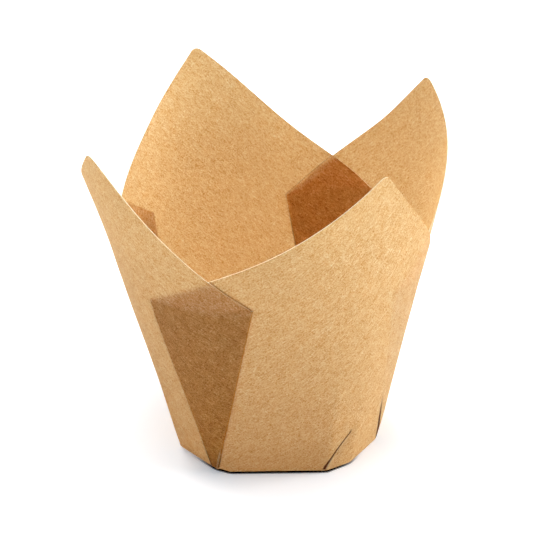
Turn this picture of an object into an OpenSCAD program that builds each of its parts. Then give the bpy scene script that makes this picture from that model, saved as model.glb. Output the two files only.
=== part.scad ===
// Cupcake liner: one square sheet of thin kraft paper, pressed into an open cup. The four corners of the
// sheet stand up as petals and four knife pleats take up the spare paper between them.
// Millimetres, +Z up, +X to the right, the front is -Y. The origin is the centre of the base's underside.
// Azimuths are in degrees from the front, growing towards +X. Heights "up the wall" follow the paper.

/* [Paper] */
// Paper thickness
paper = 0.25; // [0.2:0.01:0.32]
// Air between two layers of a pleat
layer_gap = 0.2; // [0.16:0.01:0.3]
// Setback of the rounding at each corner of the sheet
corner_r = 1.6; // [0.8:0.1:4]

/* [Base] */
// Width of the base over its corners
base_w = 52.9; // [44:0.1:64]
// Azimuths of the corners of the base, each 5 to 60 degrees past the one before
corner_at = [-31.6, -24.9, 28, 43.8, 70.5, 81.1, 118, 150, 205, 243, 296.8];
// Radius of the fold at the foot of the wall
foot_r = 0.8; // [0.5:0.1:1.5]
// Azimuth of the front pleat
pleat_turn = -24.7; // [-35:0.1:-15]

/* [Wall] */
// Outward lean of the wall in degrees
wall_lean = 13.9; // [9:0.1:19]
// Outward lean of the petals in degrees
petal_lean = 11.1; // [5:0.1:18]
// Height up the wall at which the cornered section has become round
round_len = 45; // [30:1:60]
// How far the mouth tends to a rounded square, as a share of its radius
mouth_square = 0.041; // [0:0.001:0.06]
// Drift of the wall to the right and to the back, over the length of a pleat
drift = [-1.03, 0.48]; // [-2:0.01:2]
// Azimuth of the flatter stretch of the wall at the back
flat_at = 179.5; // [150:0.1:210]
// Half the width of the flatter stretch, in degrees
flat_half = 46.6; // [25:0.1:60]
// Depth of the flatter stretch at the height of the pleats' tops
flat_depth = 7.4; // [0:0.1:8]
// Azimuth of the shallow dent at the right
dent_at = 83.8; // [60:0.1:110]
// Half the width of the dent, in degrees
dent_half = 26.1; // [20:0.1:45]
// Depth of the dent at the height of the pleats' tops
dent_depth = 0.9; // [0:0.1:3]

/* [Pleats] */
// Length of a pleat up the wall
pleat_len = 51.9; // [42:0.1:56]
// Half the width of a pleat's top, in degrees of azimuth
pleat_half = 19.7; // [15:0.1:23]
// Width of a pleat where it starts at the base
pleat_root = 1.6; // [1.2:0.1:3]

/* [Petals] */
// Length of a petal up the wall, to its point
petal_len = 85.6; // [76:0.1:98]
// Azimuth from a pleat to the point of the petal at its right
petal_turn = 54.5; // [45:0.1:60]

/* [As it stands] */
// Swing of each petal's point in degrees: front right, back right, back left, front left
tip_swing = [6.2, -8.1, -4.1, -0.4]; // [-12:0.1:12]
// Rise of each petal's point
tip_rise = [-0.6, 4.6, 4.2, -0.7]; // [-4:0.1:6]
// Outward curl of each petal, in mm over 1000 mm2 of the square of the height above the pleats
tip_curl = [0.7, -3, 2.3, 2.5]; // [-4:0.1:4]
// Outward belly in the middle of each petal's free part
belly = [-0.7, 0.4, -0.9, 0.6]; // [-4:0.1:4]
// Outward spread of each petal's sides near its point
side_spread = [0.9, 2.1, -0.3, -1.1]; // [-3:0.1:3]
// Swing of each pleat's root: front, right, back, left
root_swing = [-9.4, 9.5, -8, -3.7]; // [-12:0.1:12]
// Swing of the top of each pleat's outer fold
outer_swing = [-1.1, -1.3, -2, -2.1]; // [-6:0.1:4]
// Rise of the top of each pleat's outer fold
outer_rise = [1.6, -0.6, -0.5, -1.4]; // [-3:0.1:3]
// Swing of the top of each pleat's inner fold
inner_swing = [-3.1, 2.3, 1.7, 8.7]; // [-6:0.1:10]
// Rise of the top of each pleat's inner fold
inner_rise = [-1.8, -0.4, 2.7, -1.7]; // [-3:0.1:4]
// How far the wall puffs out past each pleat's outer fold, just above the base
foot_puff = [0, 0.9, 0, 0]; // [0:0.05:1.2]

/* [Corner tuck] */
// Length of the small tuck at the base's front right corner
tuck_len = 10; // [6:0.5:16]
// Lift of the tuck's lip at the base
tuck_lift = 0.7; // [0.5:0.05:1]
// Swing of the tuck from its foot to its end, in degrees
tuck_swing = 12; // [0:1:16]

/* [Hidden] */

pleats = 4;
pitch = 360 / pleats;
layer = paper + layer_gap;
round_share = 0.972; // radius of the round wall at the base, as a share of the radius over the corners
mean_r = base_w / 2 * round_share;
corners = len(corner_at);
square_turn = 22.9; // azimuth from a pleat to a corner of the squarish mouth
square_rise = 35; // the mouth's squareness grows over this height above round_len
square_most = 1.3;
hollow_most = 1.54; // the flatter stretch and the dent deepen up to this share of a pleat's length
round_power = 1.5; // how soon the cornered section fades into the round one
curl_drop = 0.7; // a curled point sinks by this share of the slope times the way out
foot_len = foot_r * tan((90 - wall_lean) / 2);
unrolled_r = mean_r / sin(wall_lean);
bend_from = 38; // the lean changes between these two heights
bend_to = 64;
curl_from = 54; // the petals curl, belly and spread above this height, just over the pleats
belly_len = 32; // height of a petal's belly
belly_turn = 45; // a belly fades out this far from the point's azimuth
spread_turn = 30; // the sides spread by the whole amount this far from the point's azimuth
spread_most = 1.1;
join_from = 0.45; // above this share of a petal's free height its two sides come into line
puff_rise = 4; // a puff rises over this many degrees and falls over the next
puff_fall = 9;
puff_heights = [2.8, 6.5, 9, 18]; // a puff starts, is whole between the second and third, and ends
pleat_cols = 5;
panel_cols = 14;
cols = 2 * pleat_cols + panel_cols;
low_rows = 8;
row_power = 1.25; // the rows stand closer together near the base
high_rows = 8;
tip_rows = 3;
rows = low_rows + high_rows + tip_rows;
cap_cols = 3;
lap_from = 2; // the foot and the folded sheet share this short stretch of the wall
lap_to = 2.8;
tuck_foot = corner_at[2];
tuck_cols = 2;
tuck_rows = 5;
tuck_root = 3; // width of the tuck's lip at the base
tuck_taper = 0.6;
tuck_sink = 0.05; // the lip's far edge sinks this deep into the wall
kraft = [0.80, 0.62, 0.40];

function mix(a, b, u) = a + (b - a) * u;
function clamp(x) = min(1, max(0, x));
function ease(u) = u * u * (3 - 2 * u);

// Radius of the base's outline at azimuth t, which lies on the side from one corner to the next
function baseRadius(t) =
    let (q = t - 360 * floor((t - corner_at[0]) / 360),
         n = len([for (a = corner_at) if (a <= q) a]) - 1,
         from = corner_at[n], to = n + 1 < corners ? corner_at[n + 1] : corner_at[0] + 360)
    base_w / 2 * cos((to - from) / 2) / cos(q - (from + to) / 2);

// Lean of the wall at height s: one value below, another above, a steady bend between
function leanAt(s) = mix(wall_lean, petal_lean, clamp((s - bend_from) / (bend_to - bend_from)));

// Gain in radius, height above the floor's middle layer, and steepness of the wall at height s
function profile(s) =
    s < foot_len
    ? let (e = (90 - wall_lean) * s / foot_len)
      [foot_r * sin(e) - foot_len, foot_r * (1 - cos(e)), e]
    : let (a = leanAt(s), mean = (wall_lean + a) / 2, half = (wall_lean - a) / 2,
           chord = half == 0 ? 1 : sin(half) / (half * PI / 180),
           low = min(s, bend_from), mid = chord * max(0, min(s, bend_to) - bend_from),
           high = max(0, s - bend_to))
      [low * sin(wall_lean) + mid * sin(mean) + high * sin(petal_lean),
       low * cos(wall_lean) + mid * cos(mean) + high * cos(petal_lean), 90 - a];

// Azimuth t measured from azimuth a, between -180 and 180
function turnFrom(a, t) = t - a - 360 * round((t - a) / 360);

// The mouth is a little square, and the wall has a flatter stretch and a dent; all grow with the height
function squareness(t, s) =
    mouth_square * max(0, min(square_most, (s - round_len) / square_rise))
    * cos(4 * (t - pleat_turn - square_turn));
function hollow(t, s, at, half, depth) =
    let (q = turnFrom(at, t), c = cos(90 * q / half))
    abs(q) < half ? depth * min(hollow_most, s / pleat_len) * c * c : 0;

// The point at azimuth t and height s, moved off by d along the wall's outward normal
function wallPoint(t, s, d) =
    let (p = profile(s), fade = 1 - pow(1 - clamp(s / round_len), round_power),
         r = (mix(baseRadius(t), mean_r, fade) + p[0]) * (1 + squareness(t, s)) + d * sin(p[2])
             - hollow(t, s, flat_at, flat_half, flat_depth) - hollow(t, s, dent_at, dent_half, dent_depth),
         shift = drift * s / pleat_len)
    [r * sin(t) + shift[0], shift[1] - r * cos(t), paper / 2 + p[1] - d * cos(p[2])];

// The same for a point of petal k, which curls outward near its top, with its belly and its spread sides
function petalPoint(k, t, s, d) =
    let (a = tipAt(k)[0], h = max(0, s - curl_from), slope = tip_curl[k] * h / 1000, curl = slope * h,
         share = min(spread_most, h / belly_len), q = turnFrom(a, t), side = q / spread_turn,
         middle = abs(q) < belly_turn ? sin(180 * min(1, share)) * cos(90 * q / belly_turn) : 0,
         far = curl + belly[k] * middle * middle + side_spread[k] * side * side * share * share)
    wallPoint(t, s, d) + [far * sin(a), -far * cos(a), -curl_drop * slope * curl];

// The point at share u of the height of a straight line from point a to point b
function along(a, b, u) =
    let (s = mix(a[1], b[1], u), near = unrolled_r + a[1],
         turn = (1 - near / (unrolled_r + s)) / (1 - near / (unrolled_r + b[1])))
    [mix(a[0], b[0], turn), s];

// The point at share u of the width of a nearly level straight line from point a to point b
function across(a, b, u) =
    let (fan = (b[0] - a[0]) * PI / 180 * sin(wall_lean))
    [mix(a[0], b[0], u), mix(a[1], b[1], u) - (unrolled_r + a[1]) * fan * fan * u * (1 - u) / 2];

function rootAt(j) = pleat_turn + pitch * j + root_swing[j % pleats];
function pleatAt(j) = pleat_turn + pitch * j;

// Top of the outer fold and of the inner fold of pleat j
function outerTop(j) = [pleatAt(j) + pleat_half + outer_swing[j % pleats], pleat_len + outer_rise[j % pleats]];
function innerTop(j) = [pleatAt(j) - pleat_half + inner_swing[j % pleats], pleat_len + inner_rise[j % pleats]];

// Point of petal k, which stands between pleats k and k + 1
function tipAt(k) = [pleatAt(k) + petal_turn + tip_swing[k], petal_len + tip_rise[k]];

// The heights of the rows below a fold's top: the lap with the foot, then growing steps
function rowHeight(i, top) = i == 0 ? lap_from : mix(lap_to, top, pow((i - 1) / (low_rows - 1), row_power));
function onFold(j, side, top, s) =
    along([rootAt(j) + side * pleat_root / 2 / mean_r * 180 / PI, 0], top, s / top[1]);
function outerFold(j, i) = onFold(j, 1, outerTop(j), rowHeight(i, outerTop(j)[1]));
function innerFold(j, i) = onFold(j, -1, innerTop(j), rowHeight(i, innerTop(j)[1]));

// Offset of column c of a petal: inside the pleat at its left, outside the pleat at its right
function layerOf(c) = layer * (2 * ease(clamp((c - pleat_cols) / panel_cols)) - 1);
// Share of that offset left at row i
function layerShare(i) = 1 - ease(clamp(((i - low_rows) / high_rows - join_from) / (1 - join_from)));
// Puff of petal k's wall at height s and q degrees past the pleat's fold at its left
function puff(k, q, s) =
    let (up = clamp((s - puff_heights[0]) / (puff_heights[1] - puff_heights[0])),
         down = clamp((puff_heights[3] - s) / (puff_heights[3] - puff_heights[2])))
    foot_puff[k] * ease(clamp(q / puff_rise)) * ease(clamp((puff_rise + puff_fall - q) / puff_fall))
    * ease(up) * ease(down);

// Column c of petal k at row i, up to the pleats' tops
function lowSpot(k, c, i) =
    c <= pleat_cols ? across(innerFold(k, i), outerFold(k, i), c / pleat_cols)
    : c <= pleat_cols + panel_cols
    ? mix(outerFold(k, i), innerFold(k + 1, i), (c - pleat_cols) / panel_cols)
    : across(innerFold(k + 1, i), outerFold(k + 1, i), (c - pleat_cols - panel_cols) / pleat_cols);

// Size of a step from a to b on the paper near the top of the petals
function reach(a, b) = norm([(b[0] - a[0]) * PI / 180 * (mean_r + petal_len * sin(petal_lean)), b[1] - a[1]]);

// A petal's two cut edges, and the rounding that joins them at the point
function setback(k, foot) = mix(tipAt(k), foot, corner_r / reach(tipAt(k), foot));
function rounding(k, w) =
    let (a = setback(k, innerTop(k)), b = setback(k, outerTop(k + 1)), m = tipAt(k))
    mix(mix(a, m, w), mix(m, b, w), w);

// Column c of petal k at row i above the pleats' tops
function highSpot(k, c, i) =
    let (v = clamp((i - low_rows) / high_rows), w = max(0, i - low_rows - high_rows) / (2 * tip_rows + 1),
         a0 = innerTop(k), b0 = outerTop(k + 1), p0 = lowSpot(k, c, low_rows),
         u = (p0[0] - a0[0]) / (b0[0] - a0[0]),
         a = w > 0 ? rounding(k, w) : along(a0, setback(k, a0), v),
         b = w > 0 ? rounding(k, 1 - w) : along(b0, setback(k, b0), v))
    mix(a, b, u) + (p0 - mix(a0, b0, u)) * (1 - v);

function petalSpot(k, c, i) = i <= low_rows ? lowSpot(k, c, i) : highSpot(k, c, i);
function petalVertex(k, c, i, face) =
    let (q = petalSpot(k, c, i), past = i < low_rows ? q[0] - outerFold(k, i)[0] : 0)
    petalPoint(k, q[0], q[1], layerOf(c) * layerShare(i) + puff(k, past, q[1]) + face * paper / 2);

// Pleat j from its outer fold to its inner fold: a round turn, the middle layer, a round turn back
function turned(q, x, y) = wallPoint(q[0] + x / (mean_r + q[1] * sin(wall_lean)) * 180 / PI, q[1], y);
function pleatVertex(j, c, i, face) =
    let (last = 2 * cap_cols + pleat_cols)
    c <= cap_cols
    ? let (a = 90 - 180 * c / cap_cols, r = (layer + face * paper) / 2)
      turned(outerFold(j, i), r * cos(a), layer / 2 + r * sin(a))
    : c < cap_cols + pleat_cols
    ? let (q = across(innerFold(j, i), outerFold(j, i), 1 - (c - cap_cols) / pleat_cols))
      wallPoint(q[0], q[1], -face * paper / 2)
    : let (a = 90 - 180 * (c - last + cap_cols) / cap_cols, r = (layer - face * paper) / 2)
      turned(innerFold(j, i), -r * cos(a), -layer / 2 + r * sin(a));

petal_points = (cols + 1) * (rows + 1);
pleat_inner_cols = 2 * cap_cols + pleat_cols - 1;
pleat_points = pleat_inner_cols * (low_rows + 1);
sheet_points = pleats * (petal_points + pleat_points);

function petalIndex(k, c, i, side) = side * sheet_points + (k % pleats) * petal_points + c * (rows + 1) + i;
function pleatIndex(j, c, i, side) =
    c == 0 ? petalIndex(j + pleats - 1, cols, i, side)
    : c > pleat_inner_cols ? petalIndex(j, 0, i, side)
    : side * sheet_points + pleats * petal_points + (j % pleats) * pleat_points + (c - 1) * (low_rows + 1) + i;

function quad(a, b, c, d) = [[a, b, c], [a, c, d]];
// Both faces of one cell of the sheet, from its four corners on the outer face
function cell(a, b, c, d) =
    concat(quad(a, d, c, b), quad(a + sheet_points, b + sheet_points, c + sheet_points, d + sheet_points));
// The cut edge between two neighbouring vertices of the outer face
function rim(a, b) = quad(a, a + sheet_points, b + sheet_points, b);

function flat(lists) = [for (a = lists) for (b = a) b];

// The wall, the petals and the pleats, from the lap with the foot upward
module foldedSheet() {
    points = [for (face = [1, -1]) each concat(
        [for (k = [0:pleats - 1], c = [0:cols], i = [0:rows]) petalVertex(k, c, i, face)],
        [for (j = [0:pleats - 1], c = [1:pleat_inner_cols], i = [0:low_rows]) pleatVertex(j, c, i, face)])];
    petal_cells = flat([for (k = [0:pleats - 1], c = [0:cols - 1], i = [0:rows - 1])
        cell(petalIndex(k, c, i, 0), petalIndex(k, c + 1, i, 0),
             petalIndex(k, c + 1, i + 1, 0), petalIndex(k, c, i + 1, 0))]);
    pleat_cells = flat([for (j = [0:pleats - 1], c = [0:pleat_inner_cols], i = [0:low_rows - 1])
        cell(pleatIndex(j, c, i, 0), pleatIndex(j, c + 1, i, 0),
             pleatIndex(j, c + 1, i + 1, 0), pleatIndex(j, c, i + 1, 0))]);
    edges = flat(concat(
        [for (k = [0:pleats - 1], c = [0:cols - 1]) rim(petalIndex(k, c + 1, 0, 0), petalIndex(k, c, 0, 0))],
        [for (k = [0:pleats - 1], c = [0:cols - 1])
            rim(petalIndex(k, c, rows, 0), petalIndex(k, c + 1, rows, 0))],
        [for (k = [0:pleats - 1], i = [low_rows:rows - 1])
            rim(petalIndex(k, 0, i, 0), petalIndex(k, 0, i + 1, 0))],
        [for (k = [0:pleats - 1], i = [low_rows:rows - 1])
            rim(petalIndex(k, cols, i + 1, 0), petalIndex(k, cols, i, 0))],
        [for (j = [0:pleats - 1], c = [0:pleat_inner_cols])
            rim(pleatIndex(j, c + 1, 0, 0), pleatIndex(j, c, 0, 0))],
        [for (j = [0:pleats - 1], c = [0:pleat_inner_cols])
            rim(pleatIndex(j, c, low_rows, 0), pleatIndex(j, c + 1, low_rows, 0))]));
    polyhedron(points, concat(petal_cells, pleat_cells, edges), convexity = 12);
}

// The base and the foot of the wall, one layer thick, up to the lap with the folded sheet
foot_heights = [0, foot_len / 2, foot_len, lap_from, lap_to];
foot_cols = pleats * (panel_cols + 1);
foot_rows = len(foot_heights);
function footSpot(k, c, i) =
    let (s = foot_heights[i],
         a = onFold(k, 1, outerTop(k), s), b = onFold(k + 1, -1, innerTop(k + 1), s))
    mix(a, b, c / panel_cols);
function footVertex(k, c, i, face) =
    let (q = footSpot(k, c, i), d = foot_heights[i] < lap_from ? 0 : layerOf(c + pleat_cols))
    wallPoint(q[0], q[1], d + face * paper / 2);

module foot() {
    points = [for (face = [1, -1], i = [0:foot_rows - 1], k = [0:pleats - 1], c = [0:panel_cols])
        footVertex(k, c, i, face)];
    inner = foot_rows * foot_cols;
    walls = flat([for (i = [0:foot_rows - 2], n = [0:foot_cols - 1])
        let (m = (n + 1) % foot_cols, a = i * foot_cols, b = a + foot_cols)
        concat(quad(a + n, b + n, b + m, a + m),
               quad(inner + a + n, inner + a + m, inner + b + m, inner + b + n))]);
    top = (foot_rows - 1) * foot_cols;
    brim = flat([for (n = [0:foot_cols - 1]) let (m = (n + 1) % foot_cols)
        quad(top + n, inner + top + n, inner + top + m, top + m)]);
    under = [[for (n = [0:foot_cols - 1]) n]];
    over = [[for (n = [foot_cols - 1:-1:0]) inner + n]];
    polyhedron(points, concat(walls, brim, under, over), convexity = 6);
}

// The small tuck: a lip of paper that leans over the wall at one corner of the base
function tuckVertex(c, i, face) =
    let (u = c / tuck_cols, v = i / tuck_rows, s = mix(foot_len, tuck_len, v),
         w = tuck_root * (1 - tuck_taper * v),
         t = tuck_foot + tuck_swing * v - (1 - u) * w / mean_r * 180 / PI)
    wallPoint(t, s, mix(tuck_sink, mix(tuck_lift, tuck_sink, v), u) + face * paper / 2);

module tuck() {
    n = (tuck_cols + 1) * (tuck_rows + 1);
    points = [for (face = [1, -1], c = [0:tuck_cols], i = [0:tuck_rows]) tuckVertex(c, i, face)];
    function at(c, i) = c * (tuck_rows + 1) + i;
    cells = flat([for (c = [0:tuck_cols - 1], i = [0:tuck_rows - 1])
        let (a = at(c, i), b = at(c + 1, i), e = at(c + 1, i + 1), f = at(c, i + 1))
        concat(quad(a, f, e, b), quad(n + a, n + b, n + e, n + f))]);
    ends = flat([for (c = [0:tuck_cols - 1])
        concat(quad(at(c, 0), at(c + 1, 0), n + at(c + 1, 0), n + at(c, 0)),
               quad(at(c, tuck_rows), n + at(c, tuck_rows), n + at(c + 1, tuck_rows), at(c + 1, tuck_rows)))]);
    sides = flat([for (i = [0:tuck_rows - 1])
        concat(quad(at(0, i), n + at(0, i), n + at(0, i + 1), at(0, i + 1)),
               quad(at(tuck_cols, i), at(tuck_cols, i + 1), n + at(tuck_cols, i + 1), n + at(tuck_cols, i)))]);
    polyhedron(points, concat(cells, ends, sides));
}

module liner() {
    color(kraft) {
        foldedSheet();
        foot();
        tuck();
    }
}

liner();
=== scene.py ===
import math

import bpy
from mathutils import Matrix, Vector


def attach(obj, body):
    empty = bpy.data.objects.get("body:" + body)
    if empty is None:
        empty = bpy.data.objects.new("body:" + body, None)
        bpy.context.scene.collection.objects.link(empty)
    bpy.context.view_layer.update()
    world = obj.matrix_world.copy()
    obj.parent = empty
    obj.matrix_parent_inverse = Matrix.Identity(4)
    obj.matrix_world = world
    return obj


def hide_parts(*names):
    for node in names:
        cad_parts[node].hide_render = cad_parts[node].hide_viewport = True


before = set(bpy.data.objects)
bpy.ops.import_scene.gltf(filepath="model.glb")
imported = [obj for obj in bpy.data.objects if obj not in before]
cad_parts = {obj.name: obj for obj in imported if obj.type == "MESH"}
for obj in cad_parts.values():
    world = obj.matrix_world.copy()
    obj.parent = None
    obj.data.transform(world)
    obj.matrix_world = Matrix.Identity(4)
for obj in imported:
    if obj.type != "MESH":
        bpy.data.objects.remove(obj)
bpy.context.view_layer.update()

# Lengths are in millimetres up to the meshes, which are in metres.
# An azimuth t is in degrees from the front and grows to the right.
# A height s on the wall is measured along the paper.
# Pleats j and petals k count from the front to the right, and petal k follows pleat k.
mm = 0.001


def mix(a, b, u):
    return a + (b - a) * u


def mixPair(a, b, u):
    return (mix(a[0], b[0], u), mix(a[1], b[1], u))


def clamp(x):
    return min(1.0, max(0.0, x))


def ease(u):
    u = clamp(u)
    return u * u * (3 - 2 * u)


def sinD(angle):
    return math.sin(math.radians(angle))


def cosD(angle):
    return math.cos(math.radians(angle))


def turnFrom(a, t):  # azimuth t measured from azimuth a, between -180 and 180
    return t - a - 360 * round((t - a) / 360)


cameraView = {
    "target": (0.0, 0.0, 44.37),
    "distance": 386.91,
    "elevation": 26.16,
    "lens": 106.93,
    "sensor": 36,
    "shift": (-0.0169, 0.0005),
    "clip": 20,
}


def addCamera():
    data = bpy.data.cameras.new("camera")
    data.lens = cameraView["lens"]
    data.sensor_width = cameraView["sensor"]
    data.shift_x, data.shift_y = cameraView["shift"]
    data.clip_start = cameraView["clip"] * mm
    camera = bpy.data.objects.new("camera", data)
    bpy.context.collection.objects.link(camera)
    target = Vector(cameraView["target"]) * mm
    tilt = math.radians(cameraView["elevation"])
    away = Vector((0, -math.cos(tilt), math.sin(tilt)))
    camera.location = target + away * cameraView["distance"] * mm
    camera.rotation_euler = (math.pi / 2 - tilt, 0, 0)
    bpy.context.scene.camera = camera


addCamera()
print("camera placed")

sheet = {
    "side": 152,
    "thickness": 0.18,
    "layer": 0.24,  # from one layer of a pleat to the next
    "cornerSetback": 1.6,
    "flare": 0.35,  # share of the layer spacing left at the foot
    "flareTo": 6,
    "meetFrom": 0.45,  # above this share of a petal's free height its two sides come together
    "lift": 0.125,  # the middle of the base's paper over the table
    "sharp": 50,  # edges bent by more than these degrees stay crisp
}
base = {
    "width": 52.9,  # over its corners
    "corners": [-31.6, -24.9, 28, 43.8, 70.5, 81.1, 118, 150, 205, 243, 296.8],
    "roundShare": 0.972,
    "foldRadius": 0.8,
}


def baseRadius(t):
    first, corners = base["corners"][0], base["corners"]
    q = t - 360 * math.floor((t - first) / 360)
    n = sum(1 for a in corners if a <= q) - 1
    start, end = corners[n], corners[n + 1] if n + 1 < len(corners) else first + 360
    return base["width"] / 2 * cosD((end - start) / 2) / cosD(q - (start + end) / 2)


wall = {
    "lean": 13.9,
    "petalLean": 11.1,
    "bend": (38, 64),  # heights between which the lean changes
    "roundAt": 45,  # by this height the base's corners have rounded off
    "roundPower": 1.5,
    "square": (0.041, 22.9, 35, 1.3),  # share, azimuth from a pleat, rise, most
    "drift": (-1.03, 0.48),  # to the right and back, at the pleats' height
    "hollows": ((179.5, 46.6, 7.4), (83.8, 26.1, 0.9)),  # azimuth, half width in degrees, depth
    "hollowMost": 1.54,
}
pleat = {
    "turn": -24.7,  # azimuth of the front one
    "length": 51.9,
    "half": 19.7,  # in degrees, at its top
    "root": 1.6,  # width at the base
    "rootSwing": (-9.4, 9.5, -8, -3.7),  # front, right, back, left
    "outerSwing": (-1.1, -1.3, -2, -2.1),
    "outerRise": (1.6, -0.6, -0.5, -1.4),
    "innerSwing": (-3.1, 2.3, 1.7, 8.7),
    "innerRise": (-1.8, -0.4, 2.7, -1.7),
}
meanRadius = base["width"] / 2 * base["roundShare"]
footLen = base["foldRadius"] * math.tan(math.radians((90 - wall["lean"]) / 2))
unrolledRadius = meanRadius / sinD(wall["lean"])
rootTurn = math.degrees(pleat["root"] / 2 / meanRadius)


def profile(s):
    lean, petalLean = wall["lean"], wall["petalLean"]
    if s < footLen:
        e = (90 - lean) * s / footLen
        return base["foldRadius"] * sinD(e) - footLen, base["foldRadius"] * (1 - cosD(e)), e
    low, high = wall["bend"]
    a = mix(lean, petalLean, clamp((s - low) / (high - low)))
    mean, half = (lean + a) / 2, (lean - a) / 2
    chord = sinD(half) / math.radians(half) if half else 1
    below, bent, above = min(s, low), chord * max(0, min(s, high) - low), max(0, s - high)
    out = below * sinD(lean) + bent * sinD(mean) + above * sinD(petalLean)
    up = below * cosD(lean) + bent * cosD(mean) + above * cosD(petalLean)
    return out, up, 90 - a


frontLift = {  # the base's front edge stands a little off the table
    "rise": 0.4,
    "azimuths": (-34, -30, 24, 44),  # starts, whole, until, gone
    "height": 7,  # fades over this much of the wall
}


def liftAt(t, s):
    start, whole, until, gone = frontLift["azimuths"]
    q = turnFrom(0, t)
    size = frontLift["rise"] * ease((q - start) / (whole - start))
    size *= ease((gone - q) / (gone - until))
    return size * (1 - ease(s / frontLift["height"]))


# The point at azimuth t and height s, moved off by d along the wall's outward normal
def wallPoint(t, s, d):
    out, up, steep = profile(s)
    fade = 1 - (1 - clamp(s / wall["roundAt"])) ** wall["roundPower"]
    share, turn, rise, most = wall["square"]
    square = share * max(0, min(most, (s - wall["roundAt"]) / rise))
    square *= cosD(4 * (t - pleat["turn"] - turn))
    r = (mix(baseRadius(t), meanRadius, fade) + out) * (1 + square) + d * sinD(steep)
    far = s / pleat["length"]
    for at, half, depth in wall["hollows"]:
        q = turnFrom(at, t)
        if abs(q) < half:
            r -= depth * min(wall["hollowMost"], far) * cosD(90 * q / half) ** 2
    x, y = wall["drift"][0] * far, wall["drift"][1] * far
    z = sheet["lift"] + liftAt(t, s) + up - d * cosD(steep)
    return Vector((r * sinD(t) + x, y - r * cosD(t), z))


# Straight lines on the unrolled wall: up it, and across it
def along(a, b, u):
    s = mix(a[1], b[1], u)
    near = unrolledRadius + a[1]
    turn = (1 - near / (unrolledRadius + s)) / (1 - near / (unrolledRadius + b[1]))
    return (mix(a[0], b[0], turn), s)


def across(a, b, u):
    fan = math.radians(b[0] - a[0]) * sinD(wall["lean"])
    sag = (unrolledRadius + a[1]) * fan * fan * u * (1 - u) / 2
    return (mix(a[0], b[0], u), mix(a[1], b[1], u) - sag)


def lineAt(a, b, s):
    return along(a, b, (s - a[1]) / (b[1] - a[1]))[0]


def pleatAt(j):
    return pleat["turn"] + 90 * j


def foldRoot(j, side):
    return (pleatAt(j) + pleat["rootSwing"][j % 4] + side * rootTurn, 0)


def outerTop(j):
    n = j % 4
    return (
        pleatAt(j) + pleat["half"] + pleat["outerSwing"][n],
        pleat["length"] + pleat["outerRise"][n],
    )


def innerTop(j):
    n = j % 4
    return (
        pleatAt(j) - pleat["half"] + pleat["innerSwing"][n],
        pleat["length"] + pleat["innerRise"][n],
    )


def onFold(j, side, top, share):
    s = mix(footLen, top[1], share)
    return along(foldRoot(j, side), top, s / top[1])


def outerFold(j, share):
    return onFold(j, 1, outerTop(j), share)


def innerFold(j, share):
    return onFold(j, -1, innerTop(j), share)


petal = {
    "length": 85.6,
    "turn": 54.5,
    "tipSwing": (6.2, -8.1, -4.1, -0.4),  # front right, back right, back left, front left
    "tipRise": (-0.6, 4.6, 4.2, -0.7),
    "curl": (0.7, -3, 2.3, 2.5),  # outward slope for each mm of height, in thousandths
    "curlFrom": 54,
    "curlDrop": 0.7,
    "belly": (-0.7, 0.4, -0.9, 0.6),  # bulge of its middle, over bellyLen and bellyTurn
    "bellyLen": 32,
    "bellyTurn": 45,
    "spread": (0.9, 2.1, -0.3, -1.1),  # how far the sides stand out at spreadTurn
    "spreadTurn": 30,
    "spreadMost": 1.1,
}
grid = {  # faces across a pleat and between two, up a petal, and down to the middle of the base
    "pleat": 16,
    "panel": 60,
    "low": 44,  # up to the top of the pleats
    "high": 40,
    "tip": 8,
    "turn": 6,  # round a fold
    "foot": 5,
    "floor": 10,
}
columns = 2 * grid["pleat"] + grid["panel"]
rows = grid["low"] + grid["high"] + grid["tip"]


def tipAt(k):
    n = k % 4
    return (
        pleatAt(k) + petal["turn"] + petal["tipSwing"][n],
        petal["length"] + petal["tipRise"][n],
    )


def leftEdge(k, s):
    top = innerTop(k)
    return lineAt(foldRoot(k, -1), top, s) if s < top[1] else lineAt(top, tipAt(k), s)


def rightEdge(k, s):
    top = outerTop(k + 1)
    return lineAt(foldRoot(k + 1, 1), top, s) if s < top[1] else lineAt(top, tipAt(k), s)


# How far down a petal's edge from its tip the rounding of the sheet's corner starts
def setback(k, foot):
    a, b = tipAt(k), foot
    turn = math.radians(b[0] - a[0]) * (meanRadius + petal["length"] * sinD(wall["petalLean"]))
    return mixPair(a, b, sheet["cornerSetback"] / math.hypot(turn, b[1] - a[1]))


def rounding(k, w):
    a, b, m = setback(k, innerTop(k)), setback(k, outerTop(k + 1)), tipAt(k)
    return mixPair(mixPair(a, m, w), mixPair(m, b, w), w)


def petalSpot(k, c, i):
    n, panel = grid["pleat"], grid["panel"]
    share = min(i, grid["low"]) / grid["low"]
    if c <= n:
        low = across(innerFold(k, share), outerFold(k, share), c / n)
    elif c <= n + panel:
        low = mixPair(outerFold(k, share), innerFold(k + 1, share), (c - n) / panel)
    else:
        low = across(innerFold(k + 1, share), outerFold(k + 1, share), (c - n - panel) / n)
    if i <= grid["low"]:
        return low
    v = clamp((i - grid["low"]) / grid["high"])
    w = max(0, i - grid["low"] - grid["high"]) / (2 * grid["tip"] + 1)
    a0, b0 = innerTop(k), outerTop(k + 1)
    u = (low[0] - a0[0]) / (b0[0] - a0[0])
    a = rounding(k, w) if w > 0 else along(a0, setback(k, a0), v)
    b = rounding(k, 1 - w) if w > 0 else along(b0, setback(k, b0), v)
    straight, edge = mixPair(a0, b0, u), mixPair(a, b, u)
    return (
        edge[0] + (low[0] - straight[0]) * (1 - v),
        edge[1] + (low[1] - straight[1]) * (1 - v),
    )


def flare(s):
    return mix(sheet["flare"], 1, ease((s - footLen) / (sheet["flareTo"] - footLen)))


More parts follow.
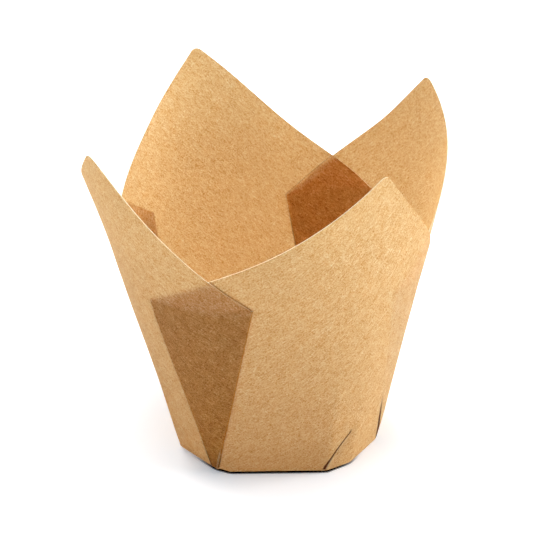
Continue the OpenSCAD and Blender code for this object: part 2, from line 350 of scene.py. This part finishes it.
def petalLayer(c, i=0):
    high = clamp((i - grid["low"]) / grid["high"])
    together = 1 - ease((high - sheet["meetFrom"]) / (1 - sheet["meetFrom"]))
    return sheet["layer"] * (2 * ease((c - grid["pleat"]) / grid["panel"]) - 1) * together


puff = {  # the paper that stands proud just past a pleat's outer fold, near the base
    "size": (0, 0.5, 0, 0),
    "rise": 2.5,
    "fall": 10.5,
    "heights": (2.8, 6.5, 9, 18),  # starts, whole, until, gone
}


def puffAt(k, t, s):
    start, whole, until, gone = puff["heights"]
    q = t - lineAt(foldRoot(k, 1), outerTop(k), s)
    reach = puff["rise"] + puff["fall"]
    size = puff["size"][k] * ease(q / puff["rise"]) * ease((reach - q) / puff["fall"])
    return size * ease((s - start) / (whole - start)) * ease((gone - s) / (gone - until))


def petalPoint(k, c, i):
    t, s = petalSpot(k, c, i)
    out = petalLayer(c, i) * flare(s)
    if puff["heights"][0] < s < puff["heights"][3]:
        out += puffAt(k, t, s)
    point = wallPoint(t, s, out)
    a = tipAt(k)[0]
    h = max(0, s - petal["curlFrom"])  # from here up the petal curls and spreads
    slope = petal["curl"][k] * h / 1000
    share = min(petal["spreadMost"], h / petal["bellyLen"])
    q = turnFrom(a, t)
    far = slope * h + petal["spread"][k] * (q / petal["spreadTurn"] * share) ** 2
    if abs(q) < petal["bellyTurn"]:
        bulge = sinD(180 * min(1, share)) * cosD(90 * q / petal["bellyTurn"])
        far += petal["belly"][k] * bulge**2
    point += Vector((far * sinD(a), -far * cosD(a), -petal["curlDrop"] * slope * slope * h))
    return point


def turned(q, x, y):
    turn = math.degrees(x / (meanRadius + q[1] * sinD(wall["lean"])))
    return wallPoint(q[0] + turn, q[1], y)


def pleatPoint(j, c, i):
    share = i / grid["low"]
    cap, n = grid["turn"], grid["pleat"]
    outer, inner = outerFold(j, share), innerFold(j, share)
    layer = sheet["layer"] * flare(outer[1])
    if c <= cap:
        a = 90 - 180 * c / cap
        return turned(outer, layer / 2 * cosD(a), layer / 2 + layer / 2 * sinD(a))
    if c < cap + n:
        t, s = across(inner, outer, 1 - (c - cap) / n)
        return wallPoint(t, s, 0)
    a = 90 - 180 * (c - cap - n) / cap
    return turned(inner, -layer / 2 * cosD(a), -layer / 2 + layer / 2 * sinD(a))


tuck = {  # the small lip of paper folded over at the base's front right corner
    "foot": 27.3,  # azimuth of its crease at the base
    "length": 11.6,
    "lift": 0.35,  # of its free edge at the base
    "swing": 12.8,  # degrees that the crease turns up to its end
    "bend": 1.4,
    "root": 3,  # width at the base
    "taper": 0.6,
    "sink": 0.1,  # its top and right edges end this far inside the wall
    "columns": 8,
    "rows": 20,
    "shade": (0.65, 0.45),  # width of the painted shade line beside it, at the base and at its end
}


def tuckLine(s):
    share = clamp((s - footLen) / (tuck["length"] - footLen))
    return tuck["foot"] + tuck["swing"] * share ** tuck["bend"]


def tuckSpot(u, v):
    s = mix(footLen, tuck["length"], v)
    width = tuck["root"] * (1 - tuck["taper"] * v)
    t = tuckLine(s) + math.degrees(u * width / meanRadius)
    return t, s, mix(mix(tuck["lift"], -tuck["sink"], v), -tuck["sink"], u)


shading = {  # painted shade of the layers of each pleat and of its folds, and painted light over the right pleat: front, right, back, left
    "two": (0.4, -1, 0.75, 0.2),  # painted shade where two layers lie together; below 0 painted light makes the paper paler
    # painted shade where three layers lie together; below 0 painted light
    "three": (1, -1, 0.84, 0.25),
    "fade": (0.8, 45),  # on the front pleat "three" is down to this share at this height
    "nextSoft": (0.15, 2.4),  # softness of the next petal's edge, in the pleat and above it
    "nextShift": 0.8,
    "topSoft": (0.2, 3.2),  # of the middle layer's top, at its inner and its outer end
    "topTurn": 2,  # height over which the tones of a pleat turn into those above it
    "grooveShades": (  # painted shade in the grooves beside the folds: strength, and heights it fades over
        (0.8, 1.5, 8),
        (0.5, 12, 40),
        (0.4, 40, 52),
        (0.4, 40, 52),
    ),
    "grooveShadeWidth": (0.35, 0.35, 0.3, 0.3),
    "grooveShadeHigh": (0.35, 0.3, 0.3, 0.3),  # strength of the painted shade beside the cut edges
    "pinch": (1, 9, 18),  # painted shade of the sharp crease over the right pleat's inner fold, as in the grooves
    "pinchWidth": (1.1, 0.6),  # at the base and at its end
    "ridge": (0.5, 4, 9),  # painted highlight, a paler strip on the front pleat's outer fold: width, heights
    "ridgeCore": 0.4,  # share of its width that is palest
}
farOff = 9  # past the reach of every soft step in the material
nowhere = (-farOff, -farOff, 0, 0, -farOff, 0, 0, 0)
# the places and strengths of the painted shade and painted light, for the material
attributeNames = (
    "inNext",
    "belowTop",
    "twoPlyShade",
    "threePlyShade",
    "beside",
    "grooveShade",
    "creaseShade",
    "creaseShadeOn",
)


# Width and strength of the painted shade in the groove beside a fold or cut edge of pleat j
def grooveShadeAt(j, s, top, outside):
    n = j % 4
    width = shading["grooveShadeWidth"][n]
    strength, whole, gone = shading["grooveShades"][n]
    if n == 1 and not outside:
        strength, whole, gone = shading["pinch"]
        width = mix(*shading["pinchWidth"], clamp(s / gone))
    low = strength * ease((gone - s) / (gone - whole))
    turn = shading["topTurn"]
    high = shading["grooveShadeHigh"][n] * ease((s - top + turn) / turn) if outside else 0
    return width, max(low, high)


# Painted highlight on the front pleat's outer fold: the share of the painted layer shade it takes
# away
def ridgeHighlightAt(j, t, s, scale):
    width, whole, gone = shading["ridge"]
    side = (lineAt(foldRoot(j, 1), outerTop(j), s) - t) * scale
    return (1 - ease(side / width - shading["ridgeCore"])) * ease((gone - s) / (gone - whole))


# What the material needs at column c of petal k, in the order of attributeNames. How far the
# point lies inside the next petal's edge and below the middle layer's top, each over its
# softness. The painted shade of two and of three layers, below 0 painted light. The place
# beside the next petal's edge, and how dark the painted shade in the groove there is. The place
# beside the tuck's crease, and whether its painted shade counts here.
def layersAt(k, c, t, s):
    scale = math.radians(1) * (meanRadius + s * sinD(wall["lean"]))  # mm for one degree
    if c > columns / 2:
        j, top = k + 1, innerTop(k + 1)
        inside = (t - leftEdge(k + 1, s)) * scale
    else:
        j, top = k, outerTop(k)
        inside = (rightEdge(k - 1, s) - t) * scale
    a, b = innerTop(j), outerTop(j)
    u = clamp((t - a[0]) / (b[0] - a[0]))
    below = across(a, b, u)[1] - s
    high = ease((s - top[1]) / shading["topTurn"] + 0.5)
    soft = mix(*shading["nextSoft"], high)
    two, three = shading["two"][j % 4], shading["three"][j % 4]
    if j % 4 == 0:
        three *= mix(1, shading["fade"][0], clamp(s / shading["fade"][1]))
    # painted highlight along the front pleat's outer fold
    if j == 4 and c > columns - grid["pleat"]:
        dark = 1 - ridgeHighlightAt(j, t, s, scale)
        two, three = two * dark, three * dark
    width, strength = grooveShadeAt(j, s, top[1], j == k)
    # painted shade beside the tuck's crease, on the front right petal's panel only
    creaseShade, creaseShadeOn = 0, 0
    if k == 0:
        inPanel = grid["pleat"] < c < columns - grid["pleat"]
        creaseShadeOn = 1 if inPanel and s < tuck["length"] else 0
        creaseShade = (tuckLine(s) - t) * scale / mix(*tuck["shade"], clamp(s / tuck["length"]))
    return (
        inside / soft - shading["nextShift"] * high,
        below / mix(*shading["topSoft"], u),
        two,
        three,
        inside / width,
        strength,
        creaseShade,
        creaseShadeOn,
    )


# The place of a point on the flat sheet, in mm from its middle
def flatSpot(k, t, s):
    fan = (t - pleatAt(k) - 45) * sinD(wall["lean"])
    x = (unrolledRadius + s) * sinD(fan)
    y = (unrolledRadius + s) * cosD(fan) - unrolledRadius + meanRadius
    turn = 45 + 90 * k
    return (x * cosD(turn) + y * sinD(turn), x * sinD(turn) - y * cosD(turn))


def buildSheet():
    points, faces, index = [], [], {}
    flats, marks = [], []

    def add(key, point, flat, mark=nowhere):
        index[key] = len(points)
        points.append(point * mm)
        flats.append(flat)
        marks.append(mark)
        return index[key]

    def cell(kind, k, c, i):
        corners = ((c, i), (c + 1, i), (c + 1, i + 1), (c, i + 1))
        faces.append([index[kind, k, a, b] for a, b in corners])

    for k in range(4):
        for c in range(columns + 1):
            for i in range(rows + 1):
                t, s = petalSpot(k, c, i)
                mark = layersAt(k, c, t, s)
                add(("petal", k, c, i), petalPoint(k, c, i), flatSpot(k, t, s), mark)
    last = 2 * grid["turn"] + grid["pleat"]
    for j in range(4):
        mark = (farOff, farOff, shading["two"][j], shading["three"][j], -farOff, 0, 0, 0)
        for c in range(1, last):
            for i in range(grid["low"] + 1):
                t, s = outerFold(j, i / grid["low"])
                flat = flatSpot(j - 1, t + c * (t - innerFold(j, i / grid["low"])[0]) / last, s)
                add(("pleat", j, c, i), pleatPoint(j, c, i), flat, mark)
        for i in range(grid["low"] + 1):
            index["pleat", j, 0, i] = index["petal", (j + 3) % 4, columns, i]
            index["pleat", j, last, i] = index["petal", j, 0, i]
    for k in range(4):
        for c in range(columns):
            for i in range(rows):
                cell("petal", k, c, i)
        for c in range(last):
            for i in range(grid["low"]):
                cell("pleat", k, c, i)

    # the foot and the base carry on from the outermost layer
    ring = [(k, c) for k in range(4) for c in range(grid["pleat"], columns)]
    count, bends = len(ring), grid["foot"]
    for n, (k, c) in enumerate(ring):
        index["foot", 0, n, 0] = index["petal", k, c, 0]
        t, _ = petalSpot(k, c, 0)
        for b in range(1, bends + 1):
            s = footLen * (1 - b / bends)
            depth = petalLayer(c) * sheet["flare"] * (1 - b / bends)
            rim = add(("foot", 0, n, b), wallPoint(t, s, depth), flatSpot(k, t, s))
        for g in range(1, grid["floor"]):
            share = 1 - g / grid["floor"]
            z = sheet["lift"] + liftAt(t, 0) * share**3
            spot = Vector((*(points[rim].xy / mm * share), z))
            add(("foot", 0, n, bends + g), spot, tuple(v * share for v in flats[rim]))
    for n in range(count):
        for b in range(bends + grid["floor"]):
            index["foot", 0, count, b] = index["foot", 0, 0, b]
    middle = add("middle", Vector((0, 0, sheet["lift"])), (0, 0))
    deepest = bends + grid["floor"] - 1
    for n in range(count):
        for b in range(deepest):
            corners = ((n, b + 1), (n + 1, b + 1), (n + 1, b), (n, b))
            faces.append([index["foot", 0, m, d] for m, d in corners])
        faces.append([index["foot", 0, n, deepest], middle, index["foot", 0, n + 1, deepest]])

    # the tuck lies over the front right petal's foot
    for c in range(tuck["columns"] + 1):
        for i in range(tuck["rows"] + 1):
            t, s, out = tuckSpot(c / tuck["columns"], i / tuck["rows"])
            add(("tuck", 0, c, i), wallPoint(t, s, out), flatSpot(0, t, s))
    for c in range(tuck["columns"]):
        for i in range(tuck["rows"]):
            cell("tuck", 0, c, i)

    mesh = bpy.data.meshes.new("linerSheet")
    mesh.from_pydata(points, [], faces)
    uvs = mesh.uv_layers.new(name="flatSheet")
    for loop in mesh.loops:
        x, y = flats[loop.vertex_index]
        uvs.data[loop.index].uv = (x / sheet["side"] + 0.5, y / sheet["side"] + 0.5)
    for name, values in zip(attributeNames, zip(*marks)):
        mesh.attributes.new(name, "FLOAT", "POINT").data.foreach_set("value", values)
    mesh.update()
    return mesh


def solid(name, mesh, thickness, material, edgeMaterial):
    obj = bpy.data.objects.new(name, mesh)
    bpy.context.collection.objects.link(obj)
    obj.data.materials.append(material)
    obj.data.materials.append(edgeMaterial)
    thick = obj.modifiers.new("paper thickness", "SOLIDIFY")
    thick.thickness = thickness * mm
    thick.offset = 0
    thick.material_offset_rim = 1
    bpy.context.view_layer.update()
    shown = obj.evaluated_get(bpy.context.evaluated_depsgraph_get())
    made = bpy.data.meshes.new_from_object(shown)
    obj.modifiers.clear()
    obj.data = made
    made.name = name
    made.shade_smooth()
    made.set_sharp_from_angle(angle=math.radians(sheet["sharp"]))
    return obj


def newMaterial(name):
    material = bpy.data.materials.new(name)
    material.use_nodes = True
    tree = material.node_tree
    tree.nodes.clear()
    return material, tree


def addNode(tree, kind, **values):
    node = tree.nodes.new(kind)
    for name, value in values.items():
        if name in node.inputs:
            node.inputs[name].default_value = value
        else:
            setattr(node, name, value)
    return node


def plug(tree, value, socket):
    if isinstance(value, (int, float, tuple)):
        socket.default_value = value
    else:
        tree.links.new(value, socket)


def mathOf(tree, operation, *values):
    node = addNode(tree, "ShaderNodeMath", operation=operation)
    for value, socket in zip(values, node.inputs):
        plug(tree, value, socket)
    return node.outputs[0]


def colourMix(tree, factor, a, b, blend="MIX"):
    node = tree.nodes.new("ShaderNodeMix")
    node.data_type, node.blend_type = "RGBA", blend
    for value, socket in ((factor, node.inputs[0]), (a, node.inputs[6]), (b, node.inputs[7])):
        plug(tree, value, socket)
    return node.outputs[2]


def smoothStep(tree, value, low, high):
    node = addNode(tree, "ShaderNodeMapRange", interpolation_type="SMOOTHSTEP")
    node.inputs["From Min"].default_value, node.inputs["From Max"].default_value = low, high
    plug(tree, value, node.inputs["Value"])
    return node.outputs[0]


def mixShader(tree, factor, a, b):
    node = tree.nodes.new("ShaderNodeMixShader")
    for value, socket in zip((factor, a, b), node.inputs):
        plug(tree, value, socket)
    return node.outputs[0]


def output(tree, shader, kind="ShaderNodeOutputMaterial"):
    plug(tree, shader, addNode(tree, kind).inputs["Surface"])


def attribute(tree, name):
    return addNode(tree, "ShaderNodeAttribute", attribute_name=name).outputs["Fac"]


def noiseAt(tree, where, scale, detail, roughness=0.5):
    node = addNode(tree, "ShaderNodeTexNoise", Scale=scale, Detail=detail, Roughness=roughness)
    plug(tree, where, node.inputs["Vector"])
    return node.outputs[0]


def stretched(tree, where, turn, scale):
    node = addNode(tree, "ShaderNodeMapping", Rotation=(0, 0, math.radians(turn)), Scale=scale)
    plug(tree, where, node.inputs["Vector"])
    return node.outputs[0]


kraft = {
    "colour": (0.875, 0.63, 0.295, 1),
    "through": (0.93, 0.755, 0.50, 1),
    "stackedShade": (0.74, 0.34, 0.052, 1),  # painted shade where three layers lie together
    # painted shade of the light let through where three layers lie together
    "throughStackedShade": (0.80, 0.445, 0.08, 1),
    "litPaler": (0.96, 0.70, 0.34, 1),  # painted light: paler over the right pleat, whose layers hardly show through
    # painted shade in the grooves and beside the tuck's crease
    "grooveShade": (0.17, 0.045, 0.004, 1),
    # the cut edges' paler colour is partly their own and partly painted highlight for the light
    # they catch and let out
    "edge": (0.95, 0.83, 0.57, 1),
    "edgeRoughness": 0.7,
    "throughShare": 0.5,
    "throughMottle": 0.4,
    "stackedMottle": 0.8,
    "roughness": 0.5,
    "specular": 0.3,
    "clouds": (60, 0.5),  # noise scale over the sheet, strength
    "blots": (150, 0.65),
    "grain": (420, 1.6),
    "fibre": (260, 1.2),
    "fibreLevel": 0.6,  # of the noise, that leaves the tone as it is
    "fibreTurns": (20, 80, 145),
    "fibreStretch": (0.3, 1.6, 1),
    "tint": (0.5, 1.0, 2.0),  # how strongly the mottling acts on red, green and blue
    "bump": 0.08,
    "bumpDepth": 0.00008,  # metres
}


# The paper's mottling: soft clouds, blots, fine grain and short fibres in three directions
def mottling(tree):
    where = addNode(tree, "ShaderNodeUVMap", uv_map="flatSheet").outputs[0]
    shade = 1.0
    for name, detail in (("clouds", 2), ("blots", 2), ("grain", 1)):
        scale, strength = kraft[name]
        shade = mathOf(
            tree, "MULTIPLY_ADD", noiseAt(tree, where, scale, detail), strength,
            mathOf(tree, "SUBTRACT", shade, strength / 2),
        )
    scale, strength = kraft["fibre"]
    fibre = 0.0
    for turn in kraft["fibreTurns"]:
        strand = noiseAt(tree, stretched(tree, where, turn, kraft["fibreStretch"]), scale, 1)
        fibre = mathOf(tree, "MAXIMUM", fibre, strand)
    fibre = mathOf(tree, "SUBTRACT", fibre, kraft["fibreLevel"])
    return mathOf(tree, "MULTIPLY_ADD", fibre, -strength, shade)


toneSteps = {  # where each painted tone of shade or light comes in or goes out, in its own softness or width
    "ply": (-1, 1),
    "grooveShade": ((-1.2, -0.7), (0.4, 0.0)),
    "creaseShade": ((-0.3, 0.3), (1.3, 0.7)),
}


# The painted shade where layers lie together: 1 at its darkest, below 0 painted light, paler
def layerShadeTone(tree):
    two, three = attribute(tree, "twoPlyShade"), attribute(tree, "threePlyShade")
    below = smoothStep(tree, attribute(tree, "belowTop"), *toneSteps["ply"])
    tone = mathOf(tree, "MULTIPLY_ADD", below, mathOf(tree, "SUBTRACT", three, two), two)
    inNext = smoothStep(tree, attribute(tree, "inNext"), *toneSteps["ply"])
    return mathOf(tree, "MULTIPLY", tone, inNext)


# A painted shade line, from its strength and the place across it
def lineTone(tree, strength, crosswise, steps):
    tone, place = attribute(tree, strength), attribute(tree, crosswise)
    for step in steps:
        tone = mathOf(tree, "MULTIPLY", tone, smoothStep(tree, place, *step))
    return tone


def kraftPaper():
    material, tree = newMaterial("kraftPaper")
    layerShade = layerShadeTone(tree)
    plyShade = mathOf(tree, "MAXIMUM", layerShade, 0.0)
    # painted light over the right pleat, where the layer tone is below 0
    litPaler = mathOf(tree, "MULTIPLY", layerShade, -1.0)
    grooveShade = lineTone(tree, "grooveShade", "beside", toneSteps["grooveShade"])
    creaseShade = lineTone(tree, "creaseShadeOn", "creaseShade", toneSteps["creaseShade"])
    # painted shade of the grooves and of the tuck's crease
    dark = mathOf(tree, "MAXIMUM", grooveShade, creaseShade)
    contrast = mathOf(tree, "MULTIPLY_ADD", plyShade, kraft["stackedMottle"], 1.0)
    shade = mathOf(tree, "POWER", mottling(tree), contrast)
    colours = []
    for one, stackedShade, strength in (
        (colourMix(tree, litPaler, kraft["colour"], kraft["litPaler"]), kraft["stackedShade"], 1),
        (kraft["through"], kraft["throughStackedShade"], kraft["throughMottle"]),
    ):
        grey = addNode(tree, "ShaderNodeCombineColor")
        for socket, power in zip(grey.inputs, kraft["tint"]):
            plug(tree, mathOf(tree, "POWER", shade, power * strength), socket)
        colour = colourMix(tree, dark, colourMix(tree, plyShade, one, stackedShade), kraft["grooveShade"])
        colours.append(colourMix(tree, 1.0, colour, grey.outputs[0], "MULTIPLY"))
    bump = addNode(tree, "ShaderNodeBump", Strength=kraft["bump"], Distance=kraft["bumpDepth"])
    plug(tree, shade, bump.inputs["Height"])
    front = addNode(tree, "ShaderNodeBsdfPrincipled", Roughness=kraft["roughness"])
    front.inputs["Specular IOR Level"].default_value = kraft["specular"]
    plug(tree, colours[0], front.inputs["Base Color"])
    plug(tree, bump.outputs[0], front.inputs["Normal"])
    through = addNode(tree, "ShaderNodeBsdfTranslucent")
    plug(tree, colours[1], through.inputs["Color"])
    output(tree, mixShader(tree, kraft["throughShare"], front.outputs[0], through.outputs[0]))
    return material


def cutEdge():
    material, tree = newMaterial("kraftCutEdge")
    front = addNode(tree, "ShaderNodeBsdfPrincipled", Roughness=kraft["edgeRoughness"])
    front.inputs["Base Color"].default_value = kraft["edge"]
    output(tree, front.outputs[0])
    return material


liner = solid("linerSheet", buildSheet(), sheet["thickness"], kraftPaper(), cutEdge())
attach(liner, "root")
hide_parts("liner")
print("sheet folded,", len(liner.data.polygons), "faces")

black, white = (0, 0, 0, 1), (1, 1, 1, 1)
floorPaint = {  # lengths here are in metres
    "half": 2.0,
    "colour": (0.72, 0.72, 0.72, 1),  # as it lights the paper
    "seen": (1.09, 1.03, 1.0, 1),  # as the camera sees it, with a glow that makes it white
    "glow": (0.19, 0.29, 0.365, 1),
    "contactShadow": (0.0012, 0.35, 0.75),  # painted shadow, the dark line under the base: reach, openness from and to
    "contactShadowFront": (-0.013, -0.0215),  # it comes in between these depths
    "haloShade": (0.03, 0.12),  # painted soft shade round the base: reach, strength
    "away": (0.22, 0.45),  # between these distances from the middle the floor turns plain white
}


# How much of its light the floor keeps for the camera: a painted shadow line under the base's
# front edge and a painted soft shade round the base
def floorShadowTone(tree, where):
    reach, shut, free = floorPaint["contactShadow"]
    near = addNode(tree, "ShaderNodeAmbientOcclusion", Distance=reach).outputs["AO"]
    closed = mathOf(tree, "SUBTRACT", 1.0, smoothStep(tree, near, shut, free))
    place = addNode(tree, "ShaderNodeSeparateXYZ")
    plug(tree, where, place.inputs[0])
    front = smoothStep(tree, place.outputs["Y"], *floorPaint["contactShadowFront"])
    gapShadow = mathOf(tree, "SUBTRACT", 1.0, mathOf(tree, "MULTIPLY", front, closed))
    reach, strength = floorPaint["haloShade"]
    wide = addNode(tree, "ShaderNodeAmbientOcclusion", Distance=reach).outputs["AO"]
    haloShade = mathOf(tree, "MULTIPLY_ADD", wide, strength, 1 - strength)
    return mathOf(tree, "MULTIPLY", gapShadow, haloShade)


def addFloor():
    mesh = bpy.data.meshes.new("floor")
    half = floorPaint["half"]
    corners = [(-half, -half, 0), (half, -half, 0), (half, half, 0), (-half, half, 0)]
    mesh.from_pydata(corners, [], [(0, 1, 2, 3)])
    floor = bpy.data.objects.new("floor", mesh)
    bpy.context.collection.objects.link(floor)
    material, tree = newMaterial("paleFloor")
    where = addNode(tree, "ShaderNodeNewGeometry").outputs["Position"]
    tone = floorShadowTone(tree, where)
    lit = addNode(tree, "ShaderNodeBsdfDiffuse")
    plug(tree, colourMix(tree, tone, black, floorPaint["seen"]), lit.inputs["Color"])
    glow = addNode(tree, "ShaderNodeEmission", Color=floorPaint["glow"])
    plug(tree, tone, glow.inputs["Strength"])
    near = tree.nodes.new("ShaderNodeAddShader")
    plug(tree, lit.outputs[0], near.inputs[0])
    plug(tree, glow.outputs[0], near.inputs[1])
    distance = addNode(tree, "ShaderNodeVectorMath", operation="LENGTH")
    plug(tree, where, distance.inputs[0])
    far = smoothStep(tree, distance.outputs["Value"], *floorPaint["away"])
    plain = addNode(tree, "ShaderNodeEmission", Color=white)
    seen = mixShader(tree, far, near.outputs[0], plain.outputs[0])
    paint = addNode(tree, "ShaderNodeBsdfDiffuse", Color=floorPaint["colour"])
    cameraRay = addNode(tree, "ShaderNodeLightPath").outputs["Is Camera Ray"]
    output(tree, mixShader(tree, cameraRay, paint.outputs[0], seen))
    mesh.materials.append(material)


lamps = {
    "right": {"azimuth": 90, "elevation": 20, "power": 14.3},
    "back": {"azimuth": -150, "elevation": 25, "power": 12.2},
    "top": {"azimuth": 0, "elevation": 89, "power": 12.2},
    "left": {"azimuth": -55, "elevation": 25, "power": 2.5},
}
lampPlace = {"distance": 1.2, "size": 0.7, "aim": 0.04}  # metres


def addLamp(name, azimuth, elevation, power):
    data = bpy.data.lights.new(name, "AREA")
    data.energy, data.size = power, lampPlace["size"]
    lamp = bpy.data.objects.new(name, data)
    bpy.context.collection.objects.link(lamp)
    aim = Vector((0, 0, lampPlace["aim"]))
    level = cosD(elevation)
    away = Vector((level * sinD(azimuth), -level * cosD(azimuth), sinD(elevation)))
    lamp.location = aim + away * lampPlace["distance"]
    lamp.rotation_euler = (-away).to_track_quat("-Z", "Y").to_euler()


def addWorld():
    world = bpy.data.worlds.new("studio")
    bpy.context.scene.world = world
    world.use_nodes = True
    tree = world.node_tree
    tree.nodes.clear()
    dark = addNode(tree, "ShaderNodeBackground", Color=white, Strength=0).outputs[0]
    bright = addNode(tree, "ShaderNodeBackground", Color=white, Strength=1).outputs[0]
    cameraRay = addNode(tree, "ShaderNodeLightPath").outputs["Is Camera Ray"]
    output(tree, mixShader(tree, cameraRay, dark, bright), "ShaderNodeOutputWorld")


addFloor()
addWorld()
for name, lamp in lamps.items():
    addLamp(name, **lamp)
bpy.context.scene.view_settings.view_transform = "Standard"
print("floor and light set")
